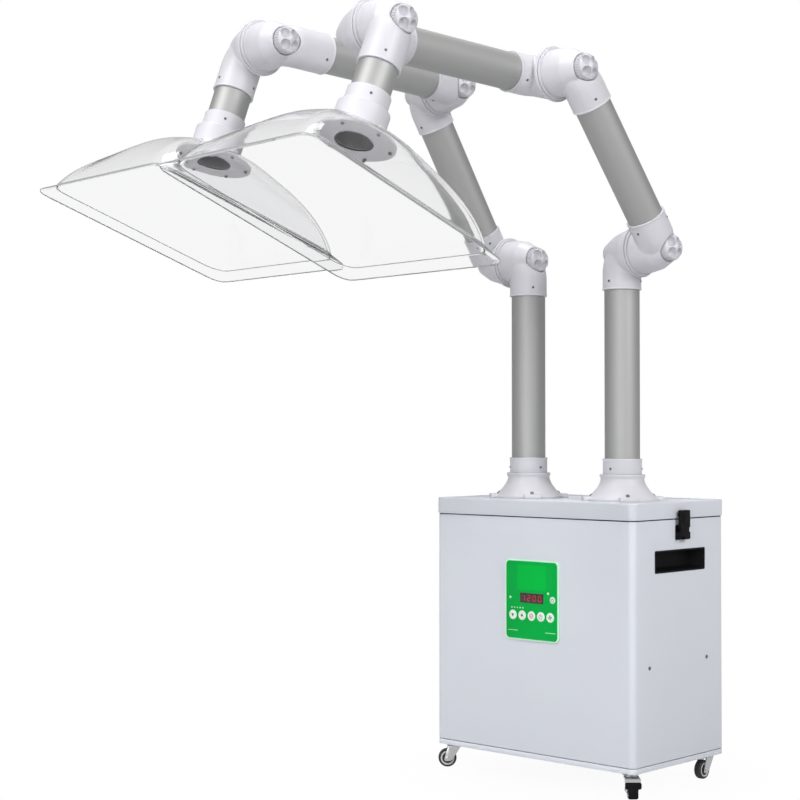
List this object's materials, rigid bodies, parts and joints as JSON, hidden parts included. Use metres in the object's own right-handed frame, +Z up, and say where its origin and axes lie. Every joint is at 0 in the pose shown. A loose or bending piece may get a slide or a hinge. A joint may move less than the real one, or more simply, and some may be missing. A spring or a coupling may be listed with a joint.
{
  "type": "fume extraction arm",
  "caption": "Mobile fume extractor: sheet-metal filter cabinet on castors with jointed tube arms that carry clear square hoods, held in place by clamping knobs.",
  "frame": {"origin": "middle of the base pan's underside, where the castors are fixed; the floor is 52 mm lower", "axes": "+Z up, +X to the right seen from the control panel, the control panel faces -Y"},
  "size_m": [0.9476, 1.2891, 1.5621],
  "materials": {
    "cabinet_paint": "fine-textured powder coat, pale grey",
    "white_plastic": "satin moulded plastic, white",
    "tube_aluminium": "satin anodised",
    "clear_acrylic": "clear, polished",
    "black_plastic": "satin moulded plastic, black",
    "panel_overlay": "printed film, green",
    "key_caps": "domed key, white",
    "castor_zinc": "zinc-plated pressed steel",
    "castor_tyre": "matt rubber, black",
    "fan_steel": "dark paint",
    "filter_media": "pleated fleece"
  },
  "bodies": {
    "cabinet": {"base_pan": "cabinet_paint", "cabinet_body": "cabinet_paint", "control_panel": "panel_overlay", "rear_panel": "cabinet_paint", "fan_housing": "fan_steel", "filter_cartridge": "filter_media", "handle_left": "black_plastic", "handle_right": "black_plastic"},
    "lid": {"lid": "cabinet_paint", "left_base_flange": "white_plastic", "right_base_flange": "white_plastic"},
    "latch_left": {"latch_lever_left": "black_plastic"},
    "latch_right": {"latch_lever_right": "black_plastic"},
    "impeller": {"fan_impeller": "black_plastic"},
    "key_1": {"function_key_1": "key_caps"},
    "key_2": {"function_key_2": "key_caps"},
    "key_3": {"function_key_3": "key_caps"},
    "key_4": {"function_key_4": "key_caps"},
    "key_5": {"function_key_5": "key_caps"},
    "key_power": {"power_key": "key_caps"},
    "castor_front_left": {"castor_fork_front_left": "castor_zinc"},
    "castor_front_right": {"castor_fork_front_right": "castor_zinc"},
    "castor_rear_right": {"castor_fork_rear_right": "castor_zinc"},
    "castor_rear_left": {"castor_fork_rear_left": "castor_zinc"},
    "wheel_front_left": {"castor_wheel_front_left": "castor_tyre"},
    "wheel_front_right": {"castor_wheel_front_right": "castor_tyre"},
    "wheel_rear_right": {"castor_wheel_rear_right": "castor_tyre"},
    "wheel_rear_left": {"castor_wheel_rear_left": "castor_tyre"},
    "left_post": {"left_post_collar": "white_plastic", "left_post_tube": "tube_aluminium", "left_elbow_1_lower": "white_plastic"},
    "left_link": {"left_elbow_1_upper": "white_plastic", "left_link_tube": "tube_aluminium", "left_elbow_2_lower": "white_plastic"},
    "left_fore": {"left_elbow_2_upper": "white_plastic", "left_fore_tube": "tube_aluminium", "left_elbow_3_inner": "white_plastic"},
    "left_head": {"left_elbow_3_outer": "white_plastic", "left_hood_tube": "tube_aluminium", "left_hood_collar": "white_plastic", "left_hood": "clear_acrylic"},
    "left_clamp_1": {"left_knob_1": "white_plastic"},
    "left_clamp_2": {"left_knob_2": "white_plastic"},
    "left_clamp_3": {"left_knob_3": "white_plastic"},
    "right_post": {"right_post_collar": "white_plastic", "right_post_tube": "tube_aluminium", "right_elbow_1_lower": "white_plastic"},
    "right_link": {"right_elbow_1_upper": "white_plastic", "right_link_tube": "tube_aluminium", "right_elbow_2_lower": "white_plastic"},
    "right_fore": {"right_elbow_2_upper": "white_plastic", "right_fore_tube": "tube_aluminium", "right_elbow_3_inner": "white_plastic"},
    "right_head": {"right_elbow_3_outer": "white_plastic", "right_hood_tube": "tube_aluminium", "right_hood_collar": "white_plastic", "right_hood": "clear_acrylic"},
    "right_clamp_1": {"right_knob_1": "white_plastic"},
    "right_clamp_2": {"right_knob_2": "white_plastic"},
    "right_clamp_3": {"right_knob_3": "white_plastic"}
  },
  "joints": [
    {"name": "lid_lift", "type": "slide", "parent": "cabinet", "child": "lid", "axis": [0, 0, 1], "range_m": [0, 0.1]},
    {"name": "latch_left_open", "type": "hinge", "parent": "cabinet", "child": "latch_left", "pos_m": [-0.275, 0, 0.472], "axis": [0, -1, 0], "range_deg": [0, 100]},
    {"name": "latch_right_open", "type": "hinge", "parent": "cabinet", "child": "latch_right", "pos_m": [0.275, 0, 0.472], "axis": [0, 1, 0], "range_deg": [0, 100]},
    {"name": "impeller_spin", "type": "hinge", "parent": "cabinet", "child": "impeller", "pos_m": [0, -0.02, 0.1], "axis": [0, 0, 1], "continuous": true},
    {"name": "key_1_press", "type": "slide", "parent": "cabinet", "child": "key_1", "axis": [0, 1, 0], "range_m": [0, 0.0005], "stiffness_N_per_m": 800},
    {"name": "key_2_press", "type": "slide", "parent": "cabinet", "child": "key_2", "axis": [0, 1, 0], "range_m": [0, 0.0005], "stiffness_N_per_m": 800},
    {"name": "key_3_press", "type": "slide", "parent": "cabinet", "child": "key_3", "axis": [0, 1, 0], "range_m": [0, 0.0005], "stiffness_N_per_m": 800},
    {"name": "key_4_press", "type": "slide", "parent": "cabinet", "child": "key_4", "axis": [0, 1, 0], "range_m": [0, 0.0005], "stiffness_N_per_m": 800},
    {"name": "key_5_press", "type": "slide", "parent": "cabinet", "child": "key_5", "axis": [0, 1, 0], "range_m": [0, 0.0005], "stiffness_N_per_m": 800},
    {"name": "key_power_press", "type": "slide", "parent": "cabinet", "child": "key_power", "axis": [0, 1, 0], "range_m": [0, 0.0005], "stiffness_N_per_m": 800},
    {"name": "castor_front_left_swivel", "type": "hinge", "parent": "cabinet", "child": "castor_front_left", "pos_m": [-0.236, -0.138, -0.01], "axis": [0, 0, 1], "continuous": true},
    {"name": "castor_front_right_swivel", "type": "hinge", "parent": "cabinet", "child": "castor_front_right", "pos_m": [0.236, -0.138, -0.01], "axis": [0, 0, 1], "continuous": true},
    {"name": "castor_rear_right_swivel", "type": "hinge", "parent": "cabinet", "child": "castor_rear_right", "pos_m": [0.236, 0.138, -0.01], "axis": [0, 0, 1], "continuous": true},
    {"name": "castor_rear_left_swivel", "type": "hinge", "parent": "cabinet", "child": "castor_rear_left", "pos_m": [-0.236, 0.138, -0.01], "axis": [0, 0, 1], "continuous": true},
    {"name": "wheel_front_left_roll", "type": "hinge", "parent": "castor_front_left", "child": "wheel_front_left", "pos_m": [-0.2477, -0.14891, -0.032], "axis": [-0.682, 0.7314, 0], "continuous": true},
    {"name": "wheel_front_right_roll", "type": "hinge", "parent": "castor_front_right", "child": "wheel_front_right", "pos_m": [0.24691, -0.1497, -0.032], "axis": [-0.7314, -0.682, 0], "continuous": true},
    {"name": "wheel_rear_right_roll", "type": "hinge", "parent": "castor_rear_right", "child": "wheel_rear_right", "pos_m": [0.236, 0.122, -0.032], "axis": [-1, 0, 0], "continuous": true},
    {"name": "wheel_rear_left_roll", "type": "hinge", "parent": "castor_rear_left", "child": "wheel_rear_left", "pos_m": [-0.2477, 0.14891, -0.032], "axis": [0.682, 0.7314, 0], "continuous": true},
    {"name": "left_post_swivel", "type": "hinge", "parent": "lid", "child": "left_post", "pos_m": [-0.13682, 0, 0.6], "axis": [0, 0, 1], "range_deg": [-110, 0]},
    {"name": "left_elbow_1_bend", "type": "hinge", "parent": "left_post", "child": "left_link", "pos_m": [-0.13682, 0, 1.069], "axis": [0.9936, -0.1132, 0], "range_deg": [-30, 30]},
    {"name": "left_elbow_2_bend", "type": "hinge", "parent": "left_link", "child": "left_fore", "pos_m": [-0.16181, -0.21938, 1.43215], "axis": [0.9936, -0.1132, 0], "range_deg": [-50, 40]},
    {"name": "left_elbow_3_bend", "type": "hinge", "parent": "left_fore", "child": "left_head", "pos_m": [-0.21552, -0.69072, 1.45618], "axis": [0.9936, -0.1132, 0], "range_deg": [-60, 40]},
    {"name": "left_knob_1_turn", "type": "hinge", "parent": "left_post", "child": "left_clamp_1", "pos_m": [-0.13682, 0, 1.069], "axis": [0.9936, -0.1132, 0], "range_deg": [0, 360]},
    {"name": "left_knob_2_turn", "type": "hinge", "parent": "left_fore", "child": "left_clamp_2", "pos_m": [-0.16181, -0.21938, 1.43215], "axis": [0.9936, -0.1132, 0], "range_deg": [0, 360]},
    {"name": "left_knob_3_turn", "type": "hinge", "parent": "left_fore", "child": "left_clamp_3", "pos_m": [-0.21552, -0.69072, 1.45618], "axis": [0.9936, -0.1132, 0], "range_deg": [0, 360]},
    {"name": "right_post_swivel", "type": "hinge", "parent": "lid", "child": "right_post", "pos_m": [0.11882, 0, 0.6], "axis": [0, 0, 1], "range_deg": [0, 110]},
    {"name": "right_elbow_1_bend", "type": "hinge", "parent": "right_post", "child": "right_link", "pos_m": [0.11882, 0, 1.069], "axis": [0.9936, -0.1132, 0], "range_deg": [-30, 30]},
    {"name": "right_elbow_2_bend", "type": "hinge", "parent": "right_link", "child": "right_fore", "pos_m": [0.09, -0.25295, 1.40931], "axis": [0.9936, -0.1132, 0], "range_deg": [-50, 40]},
    {"name": "right_elbow_3_bend", "type": "hinge", "parent": "right_fore", "child": "right_head", "pos_m": [0.03628, -0.72445, 1.43003], "axis": [0.9936, -0.1132, 0], "range_deg": [-60, 40]},
    {"name": "right_knob_1_turn", "type": "hinge", "parent": "right_link", "child": "right_clamp_1", "pos_m": [0.11882, 0, 1.069], "axis": [0.9936, -0.1132, 0], "range_deg": [0, 360]},
    {"name": "right_knob_2_turn", "type": "hinge", "parent": "right_link", "child": "right_clamp_2", "pos_m": [0.09, -0.25295, 1.40931], "axis": [0.9936, -0.1132, 0], "range_deg": [0, 360]},
    {"name": "right_knob_3_turn", "type": "hinge", "parent": "right_head", "child": "right_clamp_3", "pos_m": [0.03628, -0.72445, 1.43003], "axis": [0.9936, -0.1132, 0], "range_deg": [0, 360]}
  ],
  "couplings": [
    {"joint": "latch_left_open", "follows": "lid_lift", "rad_per_m": 17.4},
    {"joint": "latch_right_open", "follows": "lid_lift", "rad_per_m": 17.4}
  ]
}
